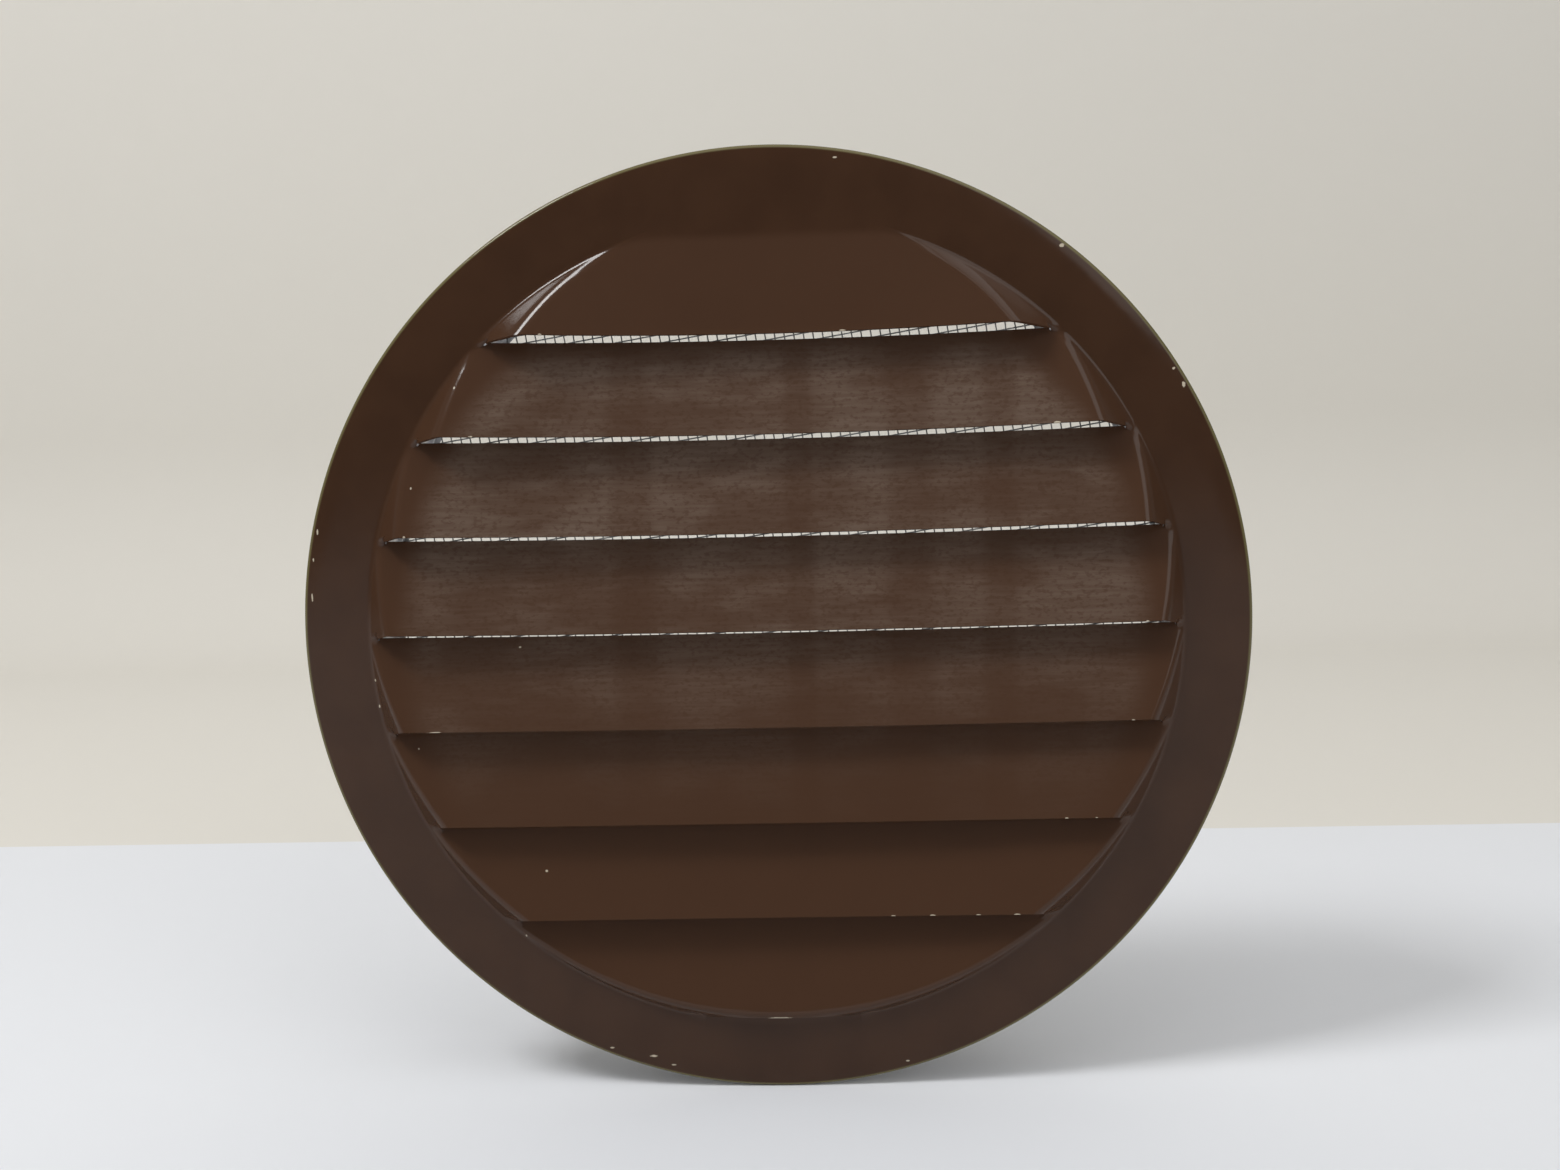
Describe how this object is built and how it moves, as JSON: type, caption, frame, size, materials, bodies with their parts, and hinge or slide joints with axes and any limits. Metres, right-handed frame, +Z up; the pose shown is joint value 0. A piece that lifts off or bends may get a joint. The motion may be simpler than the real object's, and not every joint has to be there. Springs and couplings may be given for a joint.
{
  "type": "round louvred wall vent",
  "caption": "Round pressed louvre vent with a rolled rim, a shallow collar that fits a round wall hole, and an insect screen held in the back of the collar.",
  "frame": {"origin": "centre of the back of the rim, in the plane that meets the wall, on the axis of the collar", "axes": "-Y is the front, seen from outside; +Y along the collar into the wall; +Z up, towards the top blade; +X to the right as seen from the front"},
  "size_m": [0.1714, 0.0291, 0.1714],
  "materials": {
    "brown_enamel": "glossy, worn",
    "bare_aluminium": "mill",
    "screen_wire": "dull"
  },
  "bodies": {
    "root": {"louvre_face": "brown_enamel", "mounting_collar": "bare_aluminium", "insect_screen": "screen_wire"}
  },
  "joints": []
}
